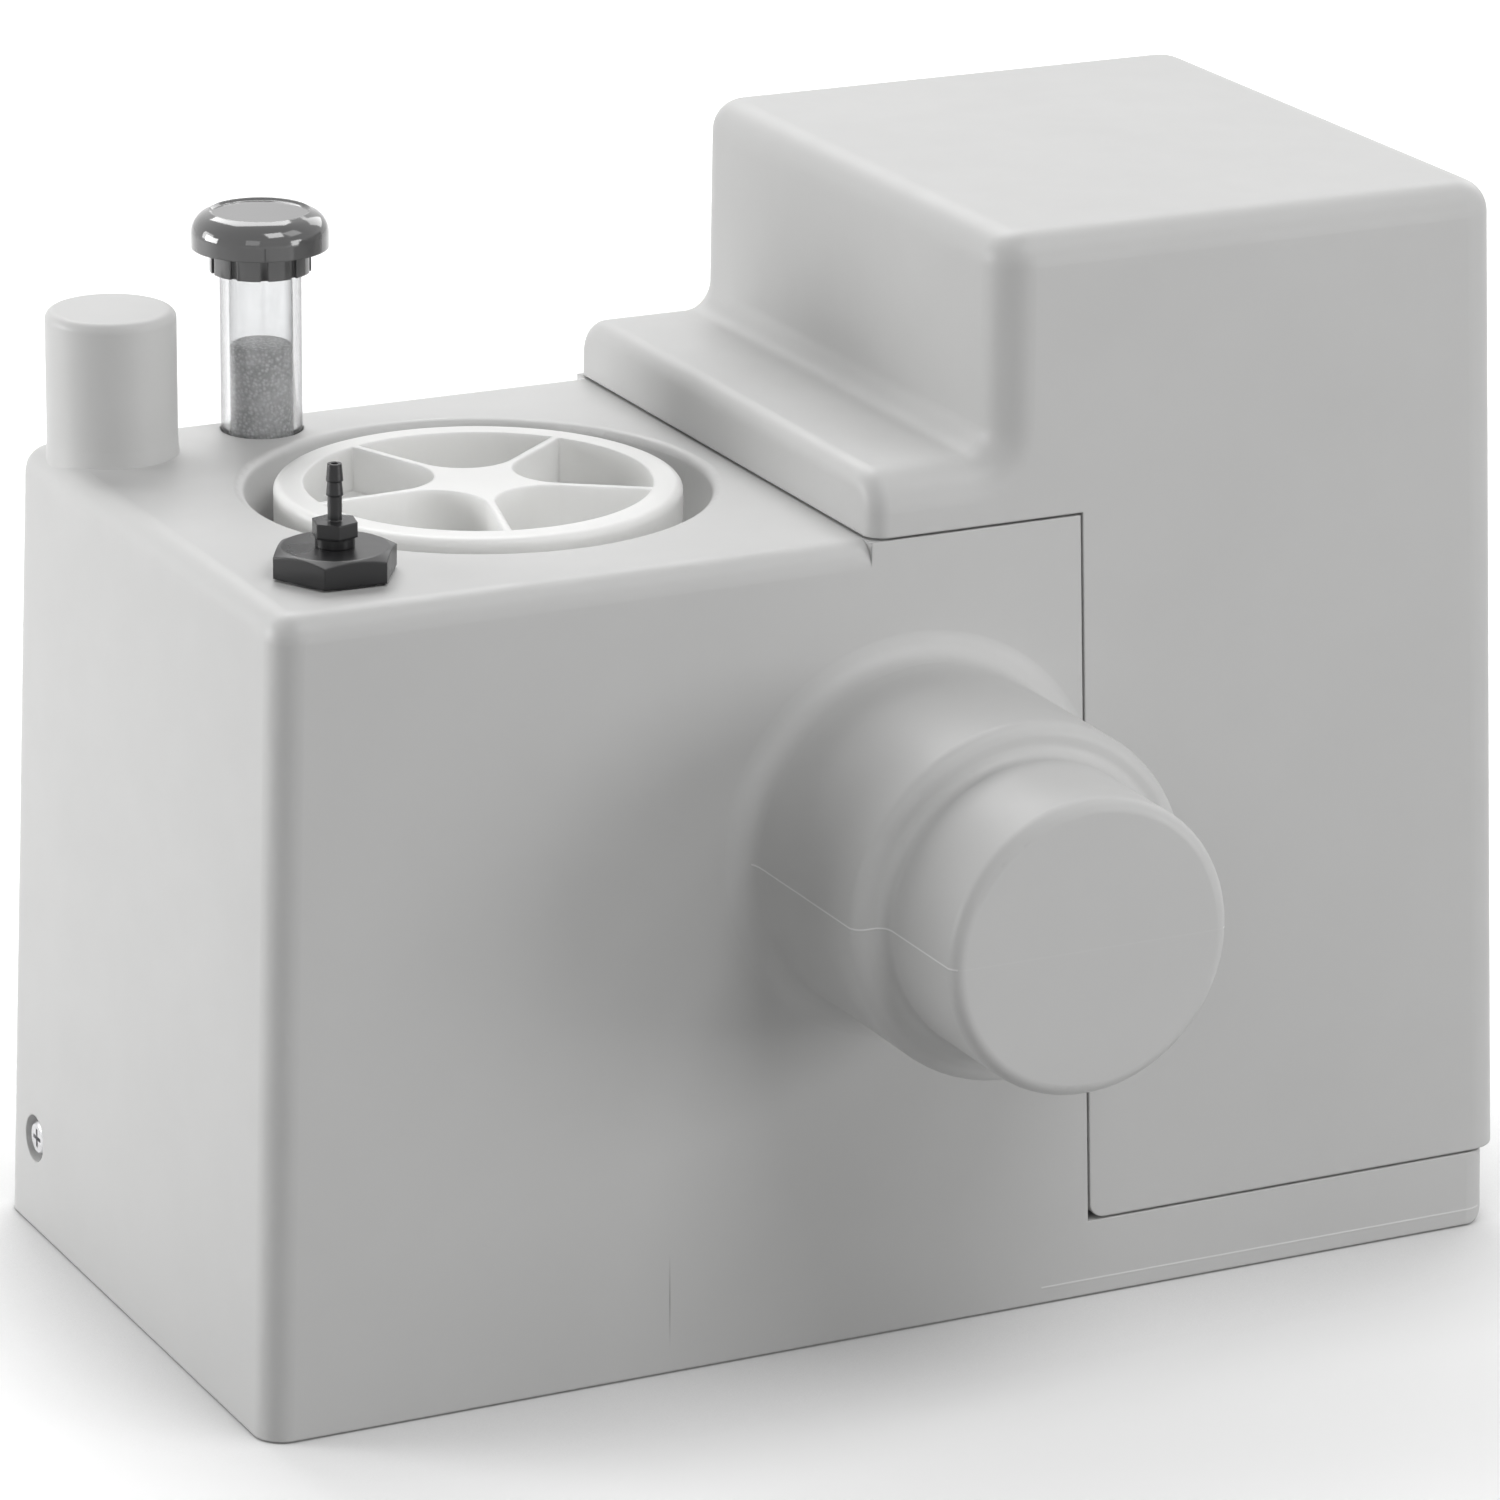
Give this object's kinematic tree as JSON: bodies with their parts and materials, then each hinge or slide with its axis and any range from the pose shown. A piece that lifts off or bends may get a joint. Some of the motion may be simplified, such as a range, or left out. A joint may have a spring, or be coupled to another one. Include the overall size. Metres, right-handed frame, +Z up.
{
  "type": "macerator pump",
  "caption": "Waste water lifting unit: a moulded tank with blank pipe stubs, a star lid and a vent, and a stepped hood over the cutting pump, its motor and the level switch.",
  "frame": {"origin": "middle of the tank's footprint on the floor", "axes": "+Z up, +X along the front towards the motor hood, -Y out of the front with the large stub"},
  "size_m": [0.4243, 0.3767, 0.3369],
  "materials": {
    "tank_plastic": "light grey moulded polyethylene, matt",
    "hood_plastic": "light grey moulded plastic, fine grain",
    "lid_plastic": "off-white moulded plastic",
    "clear_plastic": "clear plastic tube",
    "black_gloss": "black moulded plastic, polished",
    "black_plastic": "black moulded plastic, satin",
    "carbon": "granular active carbon",
    "rubber": "black rubber",
    "pale_rubber": "grey silicone rubber",
    "stainless": "bright stainless steel",
    "brass": "turned brass",
    "casing_plastic": "glass filled nylon, dark grey",
    "ceramic_dark": "ground ceramic seal face",
    "ceramic_pale": "ground ceramic seal face",
    "cast_alloy": "die cast aluminium",
    "laminations": "stacked electrical steel",
    "enamelled_copper": "varnished copper winding",
    "bearing_steel": "ground bearing steel",
    "zinc_steel": "zinc plated steel",
    "capacitor_plastic": "white plastic can",
    "terminal_plastic": "cream nylon",
    "switch_plastic": "black switch case"
  },
  "bodies": {
    "tank_body": {"tank": "tank_plastic", "side_inserts": "brass", "side_screws": "stainless", "hood": "hood_plastic", "hood_screws": "stainless", "vent_seal": "rubber", "vent_tube": "clear_plastic", "carbon_screen": "pale_rubber", "carbon_charge": "carbon", "barb_plug": "black_gloss", "plug_seal": "rubber", "hose_barb": "black_plastic", "pump_casing": "casing_plastic", "inlet_seal": "rubber", "casing_seal": "rubber", "pump_feet": "rubber", "casing_screws": "stainless", "cutter_ring": "stainless", "seal_seat": "ceramic_pale", "seal_plate": "cast_alloy", "lower_end_shield": "cast_alloy", "upper_end_shield": "cast_alloy", "lower_bearing": "bearing_steel", "upper_bearing": "bearing_steel", "stator_core": "laminations", "stator_windings": "enamelled_copper", "tie_bolts": "zinc_steel", "tray_posts": "zinc_steel", "electrics_tray": "zinc_steel", "capacitor": "capacitor_plastic", "capacitor_clip": "zinc_steel", "terminal_block": "terminal_plastic", "cable_gland": "black_plastic", "gland_nut": "black_plastic", "dip_tube": "tank_plastic", "membrane_base": "capacitor_plastic", "membrane": "rubber", "membrane_cover": "capacitor_plastic", "microswitch": "switch_plastic", "switch_bracket": "zinc_steel", "outlet_sleeve": "rubber", "sleeve_clips": "stainless", "discharge_elbow": "casing_plastic", "flap_pin": "stainless"},
    "lid_lift": {"lid_gasket": "pale_rubber"},
    "lid": {"access_lid": "lid_plastic"},
    "cap": {"vent_cap": "black_gloss"},
    "rotor": {"motor_shaft": "stainless", "rotor_core": "laminations", "lower_bearing_inner": "bearing_steel", "upper_bearing_inner": "bearing_steel", "seal_head": "ceramic_dark", "impeller": "casing_plastic", "cutter_blade": "stainless", "shaft_nut": "stainless", "cooling_fan": "black_plastic"},
    "plunger": {"switch_plunger": "capacitor_plastic"},
    "lever": {"switch_lever": "stainless"},
    "flap": {"check_flap": "rubber"}
  },
  "joints": [
    {"name": "lid_raise", "type": "slide", "parent": "tank_body", "child": "lid_lift", "axis": [0, 0, 1], "range_m": [0, 0.08]},
    {"name": "lid_turn", "type": "hinge", "parent": "lid_lift", "child": "lid", "pos_m": [-0.0924, 0.003, 0.234], "axis": [0, 0, 1], "range_deg": [0, 360]},
    {"name": "cap_pull", "type": "slide", "parent": "tank_body", "child": "cap", "axis": [0, 0, 1], "range_m": [0, 0.03]},
    {"name": "rotor_spin", "type": "hinge", "parent": "tank_body", "child": "rotor", "pos_m": [0.136, 0, 0.16], "axis": [0, 0, 1], "continuous": true},
    {"name": "plunger_travel", "type": "slide", "parent": "tank_body", "child": "plunger", "axis": [0, 0, 1], "range_m": [0, 0.002]},
    {"name": "lever_tilt", "type": "hinge", "parent": "tank_body", "child": "lever", "pos_m": [0.068, 0, 0.2716], "axis": [0, 1, 0], "range_deg": [0, 4]},
    {"name": "flap_swing", "type": "hinge", "parent": "tank_body", "child": "flap", "pos_m": [0.099, 0.1383, 0.0906], "axis": [1, 0, 0], "range_deg": [0, 50], "stiffness_Nm_per_rad": 0.0002, "springref_deg": -28.65}
  ],
  "couplings": [
    {"joint": "lever_tilt", "follows": "plunger_travel", "rad_per_m": 33.333}
  ]
}
